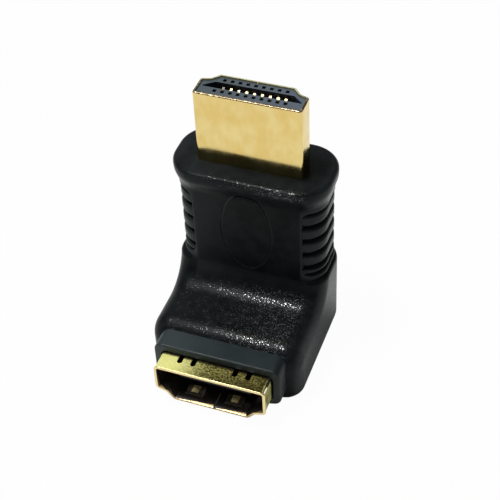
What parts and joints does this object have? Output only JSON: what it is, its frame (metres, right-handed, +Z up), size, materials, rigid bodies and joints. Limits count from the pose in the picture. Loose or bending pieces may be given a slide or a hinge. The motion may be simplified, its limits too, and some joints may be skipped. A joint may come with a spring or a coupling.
{
  "type": "right angle adapter",
  "caption": "Right angle digital video adapter: flat gold plug pointing up from a ribbed black moulding, matching receptacle in a grey collar facing front.",
  "frame": {"origin": "point on the plug's centre line in the plane that the adapter rests on", "axes": "+Z up along the plug, towards its tip; -Y towards the receptacle's mouth; X across the width"},
  "size_m": [0.021, 0.0249, 0.0374],
  "materials": {
    "overmould": "satin black with a fine grain",
    "inner_mould": "matte dark grey",
    "collar": "smooth slate grey",
    "plug_shell": "pale gold plating, satin",
    "receptacle_shell": "gold plating, glossy",
    "plug_insulator": "satin blue-grey",
    "receptacle_insulator": "satin black",
    "contacts": "gold plating, polished",
    "circuit_board": "green solder mask"
  },
  "bodies": {
    "root": {"overmould": "overmould", "inner_mould": "inner_mould", "collar": "collar", "plug_shell": "plug_shell", "plug_insulator": "plug_insulator", "receptacle_shell": "receptacle_shell", "receptacle_insulator": "receptacle_insulator", "circuit_board": "circuit_board", "plug_contact_01": "contacts", "plug_contact_02": "contacts", "plug_contact_03": "contacts", "plug_contact_04": "contacts", "plug_contact_05": "contacts", "plug_contact_06": "contacts", "plug_contact_07": "contacts", "plug_contact_08": "contacts", "plug_contact_09": "contacts", "plug_contact_10": "contacts", "plug_contact_11": "contacts", "plug_contact_12": "contacts", "plug_contact_13": "contacts", "plug_contact_14": "contacts", "plug_contact_15": "contacts", "plug_contact_16": "contacts", "plug_contact_17": "contacts", "plug_contact_18": "contacts", "plug_contact_19": "contacts", "receptacle_contact_01": "contacts", "receptacle_contact_02": "contacts", "receptacle_contact_03": "contacts", "receptacle_contact_04": "contacts", "receptacle_contact_05": "contacts", "receptacle_contact_06": "contacts", "receptacle_contact_07": "contacts", "receptacle_contact_08": "contacts", "receptacle_contact_09": "contacts", "receptacle_contact_10": "contacts", "receptacle_contact_11": "contacts", "receptacle_contact_12": "contacts", "receptacle_contact_13": "contacts", "receptacle_contact_14": "contacts", "receptacle_contact_15": "contacts", "receptacle_contact_16": "contacts", "receptacle_contact_17": "contacts", "receptacle_contact_18": "contacts", "receptacle_contact_19": "contacts"}
  },
  "joints": []
}
